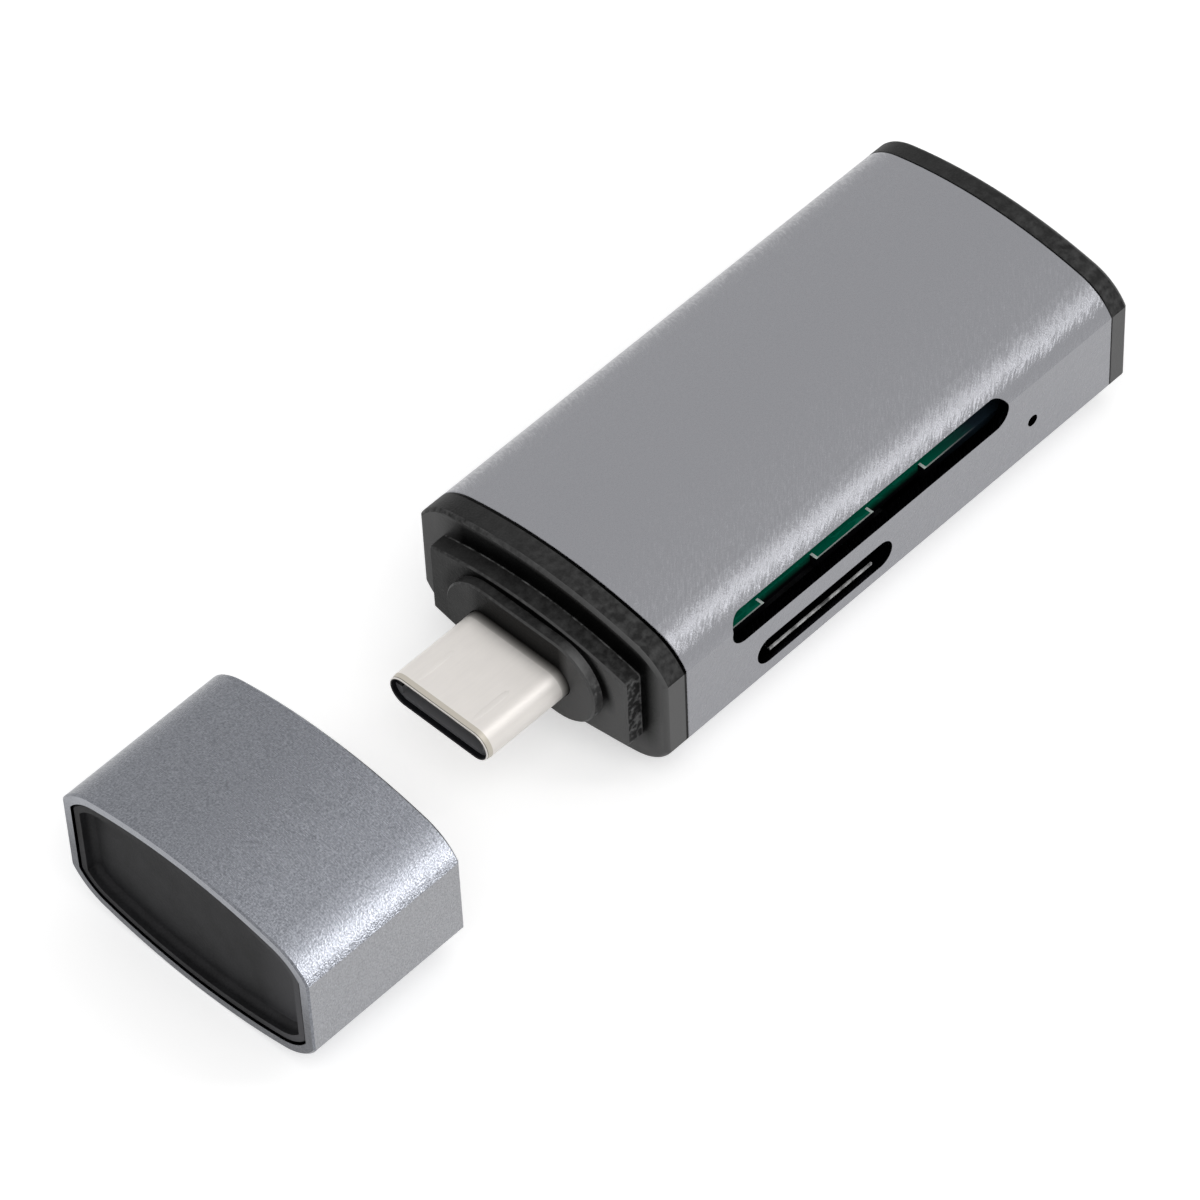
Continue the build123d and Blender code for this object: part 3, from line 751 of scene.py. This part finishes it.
def add_piece(name, vertices, faces, body, slot, shader):
    """A closed mesh in millimetres, shaded smooth up to its sharp edges."""
    mesh = bpy.data.meshes.new(name)
    mesh.from_pydata([Vector(vertex) * MM for vertex in vertices], [], faces)
    work = bmesh.new()
    work.from_mesh(mesh)
    bmesh.ops.recalc_face_normals(work, faces=work.faces)
    work.to_mesh(mesh)
    work.free()
    mesh.shade_smooth()
    mesh.set_sharp_from_angle(angle=SHARP_ANGLE)
    mesh.materials.append(shader.material)
    piece = bpy.data.objects.new(name, mesh)
    bpy.context.scene.collection.objects.link(piece)
    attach(piece, body)
    return piece


def oval(x, width, height, steps=24):
    """Points round an oval that stands square to the length."""
    radius = height / 2
    points = []
    for side in (1, -1):
        for step in range(steps + 1):
            angle = math.pi * step / steps
            y = side * (width / 2 - radius + radius * math.sin(angle))
            points.append((x, y, mid_level + side * radius * math.cos(angle)))
    return points


def sweep(rings):
    """Vertices and faces of rings of equal length, closed on themselves both ways."""
    count = len(rings[0])
    faces = []
    for index in range(len(rings)):
        following = (index + 1) % len(rings)
        for place in range(count):
            beyond = (place + 1) % count
            corners = (index, place), (index, beyond), (following, beyond), (following, place)
            faces.append([ring * count + point for ring, point in corners])
    return [point for ring in rings for point in ring], faces


def slab(low, high):
    """Vertices and faces of a plain block."""
    vertices = [(x, y, z) for x in (low[0], high[0]) for y in (low[1], high[1]) for z in (low[2], high[2])]
    faces = [(0, 1, 3, 2), (4, 6, 7, 5), (0, 4, 5, 1), (2, 3, 7, 6), (0, 2, 6, 4), (1, 5, 7, 3)]
    return vertices, faces


def pill(centre, length, width, height, rings=16, sides=16):
    """Vertices and faces of a long round bar that thins out at both ends."""
    vertices = []
    for ring in range(rings + 1):
        along = 2 * ring / rings - 1
        full = math.sqrt(1 - PILL_SHARE * along**4)
        for side in range(sides):
            angle = 2 * math.pi * side / sides
            y = full * width / 2 * math.cos(angle)
            z = full * height * math.sin(angle)
            vertices.append((centre[0] + along * length / 2, centre[1] + y, centre[2] + z))
    faces = []
    for ring in range(rings):
        for side in range(sides):
            beyond = (side + 1) % sides
            corners = (0, side), (0, beyond), (1, beyond), (1, side)
            faces.append([(ring + row) * sides + place for row, place in corners])
    first = list(range(sides))
    return vertices, faces + [first, [rings * sides + place for place in first]]


def joined(meshes):
    """One list of vertices and faces from several."""
    vertices = []
    faces = []
    for points, loops in meshes:
        faces += [[len(vertices) + index for index in loop] for loop in loops]
        vertices += points
    return vertices, faces


def plug_tube():
    """The plug's shell with a rolled lip round its mouth, and the strap that is soldered to the board."""
    radius = (PLUG_SHEET - NOSE_DROP) / 2
    stations = [(plug_high.x, 0.0), (plug_low.x + NOSE_LENGTH, 0.0)]
    for step in range(LIP_STEPS + 1):
        angle = math.pi * step / LIP_STEPS
        x = plug_low.x + LIP_LENGTH * (1 - math.sin(angle))
        stations.append((x, radius * math.cos(angle) + radius - PLUG_SHEET))
    stations.append((plug_high.x, -PLUG_SHEET))
    tube = sweep([oval(x, PLUG_WIDTH + 2 * grow, PLUG_HEIGHT + 2 * grow) for x, grow in stations])
    strap_low = (plug_high.x - PLUG_STRAP_LENGTH, plug_low.y, board_high.z)
    strap = slab(strap_low, (plug_high.x, plug_high.y, board_high.z + PLUG_SHEET))
    return joined((tube, strap))


def plug_ribs():
    """Shallow pressed ribs on both flat sides of the plug."""
    x = plug_low.x + RIB_SETBACK + RIB_LENGTH / 2
    places = [
        (x, side * RIB_OFFSET, mid_level + end * PLUG_HEIGHT / 2)
        for side in (1, -1)
        for end in (1, -1)
    ]
    return joined([pill(place, RIB_LENGTH, RIB_WIDTH, RIB_HEIGHT) for place in places])


tube = add_piece("plug_tube", *plug_tube(), "reader", "plug_steel", plug_steel)
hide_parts("plug_shell")
add_piece("plug_ribs", *plug_ribs(), "reader", "plug_steel", plug_steel)


def make_floor():
    """Pale floor that looks white to the camera and in gloss, and keeps the shadow."""
    corners = [(x * FLOOR_SIZE / 2, y * FLOOR_SIZE / 2, 0) for x, y in ((-1, -1), (1, -1), (1, 1), (-1, 1))]
    mesh = bpy.data.meshes.new("floor")
    mesh.from_pydata(corners, [], [(0, 1, 2, 3)])
    floor = bpy.data.objects.new("floor", mesh)
    bpy.context.scene.collection.objects.link(floor)
    shader = Shader("floor_paper")
    shader.set(Base_Color=grey(FLOOR_GREY), Roughness=FLOOR_ROUGHNESS, Specular_IOR_Level=0.0)
    shader.set(Emission_Color=grey(1.0))
    shader.set(Emission_Strength=shader.math("MULTIPLY", background_rays(shader.tree), FLOOR_LIFT))
    mesh.materials.append(shader.material)


def background_rays(tree):
    """1 for rays that see the background: straight from the camera, in gloss or through glass."""
    path = tree.nodes.new("ShaderNodeLightPath")
    total = path.outputs["Is Camera Ray"]
    for name in ("Is Glossy Ray", "Is Transmission Ray"):
        node = tree.nodes.new("ShaderNodeMath")
        node.operation = "MAXIMUM"
        tree.links.new(total, node.inputs[0])
        tree.links.new(path.outputs[name], node.inputs[1])
        total = node.outputs[0]
    return total


def make_world():
    world = bpy.data.worlds.new("studio")
    world.use_nodes = True
    tree = world.node_tree
    level = tree.nodes.new("ShaderNodeMapRange")
    tree.links.new(background_rays(tree), level.inputs[0])
    level.inputs[3].default_value = WORLD_LEVEL
    level.inputs[4].default_value = BACKGROUND_LEVEL
    background = tree.nodes["Background"]
    background.inputs["Color"].default_value = grey(1.0)
    tree.links.new(level.outputs[0], background.inputs["Strength"])
    bpy.context.scene.world = world


def area_light(name, direction, across, distance, size, level, cap_lit=None):
    """Soft box that faces the object, its level the brightness of its face. It can be kept to the cap
    or off it."""
    light = bpy.data.lights.new(name, "AREA")
    light.shape = "RECTANGLE"
    light.size, light.size_y = size
    light.energy = level * math.pi * size[0] * size[1]
    lamp = bpy.data.objects.new(name, light)
    back = Vector(direction).normalized()
    side = back.cross(Vector(across)).normalized()
    axes = Matrix((side, back.cross(side), back)).transposed().to_4x4()
    lamp.matrix_world = Matrix.Translation(CAMERA_AIM + back * distance) @ axes
    bpy.context.scene.collection.objects.link(lamp)
    if cap_lit is not None:
        lit = bpy.data.collections.new(name + "_lit")
        lit.objects.link(nodes["cap_shell"])
        lit.collection_objects[0].light_linking.link_state = "INCLUDE" if cap_lit else "EXCLUDE"
        lamp.light_linking.receiver_collection = lit


def view_direction():
    flat = math.cos(CAMERA_ELEVATION)
    return Vector(
        (flat * math.cos(CAMERA_AZIMUTH), flat * math.sin(CAMERA_AZIMUTH), math.sin(CAMERA_ELEVATION))
    )


def mirrored(tilt):
    """Where the corner along the slots' side mirrors the camera, for a slope tilted from level."""
    normal = Vector((0, -math.sin(math.radians(tilt)), math.cos(math.radians(tilt))))
    back = view_direction()
    return 2 * normal.dot(back) * normal - back


def corner_strip(name, low_tilt, high_tilt, level, twist, cap_lit):
    """Strip light seen in the corner between two slopes, of the cap or of the reader. A twist makes
    its streak wander down the corner along the length."""
    low = mirrored(low_tilt)
    high = mirrored(high_tilt)
    width = 2 * LAMP_DISTANCE * math.tan(low.angle(high) / 2) * math.cos(twist)
    across = (high - low).normalized()
    along = (low + high).cross(across).normalized()
    turned = across * math.cos(twist) - along * math.sin(twist)
    area_light(name, low + high, turned, LAMP_DISTANCE, (STRIP_LENGTH, width), level, cap_lit)


def make_camera():
    data = bpy.data.cameras.new("camera")
    data.sensor_width = CAMERA_SENSOR
    data.lens = CAMERA_LENS
    camera = bpy.data.objects.new("camera", data)
    back = view_direction()
    side = Vector((-math.sin(CAMERA_AZIMUTH), math.cos(CAMERA_AZIMUTH), 0))
    right = side * math.cos(CAMERA_ROLL) + back.cross(side) * math.sin(CAMERA_ROLL)
    axes = Matrix((right, back.cross(right), back)).transposed().to_4x4()
    camera.matrix_world = Matrix.Translation(CAMERA_AIM + back * CAMERA_DISTANCE) @ axes
    bpy.context.scene.collection.objects.link(camera)
    bpy.context.scene.camera = camera


make_floor()
make_world()
for slopes in BODY_STREAK:
    corner_strip(f"body_strip_{slopes[0]}", *slopes, BODY_TWIST, False)
for slopes in CAP_STREAK:
    corner_strip(f"cap_strip_{slopes[0]}", *slopes, CAP_TWIST, True)
area_light("key", KEY_DIRECTION, KEY_ACROSS, KEY_DISTANCE, KEY_SIZE, KEY_LEVEL)
make_camera()
bpy.context.scene.view_settings.view_transform = "Standard"
